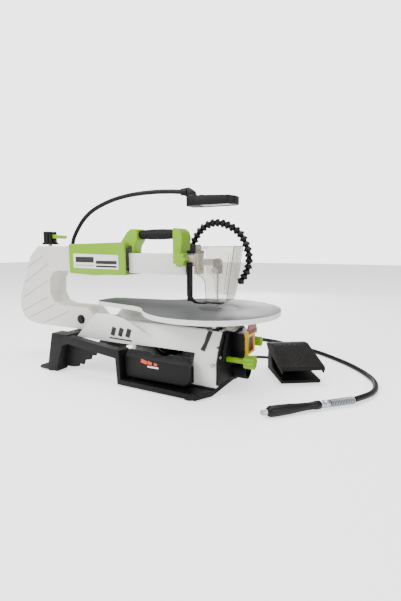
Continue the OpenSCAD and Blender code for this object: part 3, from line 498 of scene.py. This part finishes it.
seat = bmesh.ops.create_cone(hose, cap_ends=True, segments=32, radius1=SEAT_R, radius2=SEAT_R,
                             depth=SEAT_LENGTH)["verts"]
bmesh.ops.rotate(hose, matrix=Euler((pi / 2, 0, 0)).to_matrix(), verts=seat)
bmesh.ops.translate(hose, vec=SEAT_AT, verts=seat)
finish_piece("air_hose_beads", hose, acetal, "root", "air_hose", smooth=True)

# ---- Foot pedal ------------------------------------------------------------
# Black-brown moulded rubber. The treadle is crossed by raised ribs in a diamond
# pattern, each cut off at the treadle's edges.
pedal_rubber = grained("moulded_pedal_rubber", "#0f0c09", "#090706", 0.6, 0.4, 0.6, Specular_IOR_Level=0.25)
dress(pedal_rubber, "pedal_base", "pedal_treadle")
soften(1.5, "pedal_base", "pedal_treadle")
PEDAL_AT = Vector((297, 127, 0))
PEDAL_TURN = radians(-57)
TREAD_FROM = Vector((-26, 0, 59.0))
TREAD_TO = Vector((56, 0, 38.2))
TREAD_HALF = 38.0
RIB_ANGLE = radians(32)
RIB_PITCH = 8.5
SHORTEST_RIB = 6
tread = bmesh.new()
half_run = (TREAD_TO - TREAD_FROM).length / 2
slope = Matrix.Rotation(Vector((1, 0, 0)).angle(TREAD_TO - TREAD_FROM), 3, "Y")
for side in (-1, 1):
    step = Vector((cos(RIB_ANGLE), side * sin(RIB_ANGLE), 0))
    across = Vector((-step.y, step.x, 0))
    for i in range(-8, 9):
        start = across * (i * RIB_PITCH)
        spans = [sorted(((-limit - start[k]) / step[k], (limit - start[k]) / step[k]))
                 for k, limit in ((0, half_run), (1, TREAD_HALF))]
        low, high = max(a for a, b in spans), min(b for a, b in spans)
        if high - low >= SHORTEST_RIB:
            add_block(tread, (high - low, 1.3, 1.0), start + step * ((low + high) / 2), (0, 0, side * RIB_ANGLE))
bmesh.ops.rotate(tread, matrix=slope, verts=tread.verts)
bmesh.ops.translate(tread, vec=(TREAD_FROM + TREAD_TO) / 2, verts=tread.verts)
bmesh.ops.rotate(tread, matrix=Matrix.Rotation(PEDAL_TURN, 3, "Z"), verts=tread.verts)
bmesh.ops.translate(tread, vec=PEDAL_AT, verts=tread.verts)
finish_piece("treadle_ribs", tread, pedal_rubber, "treadle")

# ---- Handpiece -------------------------------------------------------------
# Slim black grip with a polished collet, a plain ferrule and a coil spring
# that keeps the shaft from kinking.
HAND_AT = Vector((304, -93, 9))
HAND_TURN = radians(44.6)
hand_axis = Vector((cos(HAND_TURN), sin(HAND_TURN), 0))
GRIP_PROFILE = [(10, 0), (10, 5.6), (11, 6.4), (14, 8.4), (18, 8.9), (30, 8.9), (50, 8.2), (66, 6.9), (80, 6.2),
                (92, 6.2), (95, 7.0), (104, 7.0), (105, 6.0), (105, 0)]
FERRULE_PROFILE = [(104, 0), (104, 5.8), (110, 5.8), (110.5, 5.4), (112, 5.4), (112.5, 6.2), (122, 6.2),
                   (122.6, 5.6), (122.6, 0)]
SHEATH_PROFILE = [(122, 0), (122, 4.6), (171, 4.9), (171, 0)]
spun("handpiece_grip", GRIP_PROFILE, acetal, "root", "handpiece", at=HAND_AT, turn=HAND_TURN)
spun("drive_ferrule", FERRULE_PROFILE, zinc, "root", at=HAND_AT, turn=HAND_TURN)
spun("sheath_end", SHEATH_PROFILE, acetal, "root", at=HAND_AT, turn=HAND_TURN)
SPRING_TURNS = 15
SPRING_STEPS = 16
SPRING_FROM = 124
SPRING_RUN = 46
SPRING_R = 5.6
spring = []
for i in range(SPRING_TURNS * SPRING_STEPS + 1):
    turn = 2 * pi * i / SPRING_STEPS
    along = SPRING_FROM + SPRING_RUN * i / (SPRING_TURNS * SPRING_STEPS)
    around = Vector((-hand_axis.y, hand_axis.x, 0)) * cos(turn) + Vector((0, 0, 1)) * sin(turn)
    spring.append(HAND_AT + hand_axis * along + SPRING_R * around)
tube_curve("kink_spring", spring, 0.75, zinc, "root")
dress(zinc, "collet")

# ---- Studio ----------------------------------------------------------------
# A pale floor that glows to the camera, four soft boxes, and a world that is
# brighter to the camera than to the saw.
floor_mesh = bpy.data.meshes.new("studio_floor")
bm = bmesh.new()
bmesh.ops.create_grid(bm, x_segments=1, y_segments=1, size=6.0)
bm.to_mesh(floor_mesh)
bm.free()
floor = bpy.data.objects.new("studio_floor", floor_mesh)
floor_paint, tree, surface, place = start_material("pale_floor", Roughness=0.7)
surface.inputs["Base Color"].default_value = linear("#fafafa")
surface.inputs["Emission Color"].default_value = linear("#ffffff")
seen = add(tree, "ShaderNodeLightPath").outputs["Is Camera Ray"]
glow = add(tree, "ShaderNodeMapRange", Value=seen, To_Min=0.2, To_Max=1.1)
tree.links.new(glow.outputs[0], surface.inputs["Emission Strength"])
floor_mesh.materials.append(floor_paint)
scene.collection.objects.link(floor)


def soft_box(name, place, target, size, power):
    data = bpy.data.lights.new(name, "AREA")
    data.energy = power
    data.shape = "SQUARE"
    data.size = size
    lamp = bpy.data.objects.new(name, data)
    lamp.location = place
    lamp.rotation_euler = (Vector(target) - Vector(place)).to_track_quat("-Z", "Y").to_euler()
    lamp.visible_camera = False
    scene.collection.objects.link(lamp)


soft_box("key", (-0.9, -1.6, 1.5), (0, 0, 0.15), 1.2, 46)
soft_box("fill", (1.8, -0.9, 0.9), (0, 0, 0.15), 1.0, 14)
soft_box("top", (0.1, 0.2, 1.9), (0, 0, 0), 1.4, 38)
soft_box("rear", (-0.25, 1.5, 0.42), (0.2, 0, 0.15), 0.35, 4)
world = bpy.data.worlds.new("studio")
world.use_nodes = True
tree = world.node_tree
seen = add(tree, "ShaderNodeLightPath").outputs["Is Camera Ray"]
strength = add(tree, "ShaderNodeMapRange", Value=seen, To_Min=0.6, To_Max=3.5)
tree.nodes["Background"].inputs["Color"].default_value = linear("#ffffff")
tree.links.new(strength.outputs[0], tree.nodes["Background"].inputs["Strength"])
scene.world = world
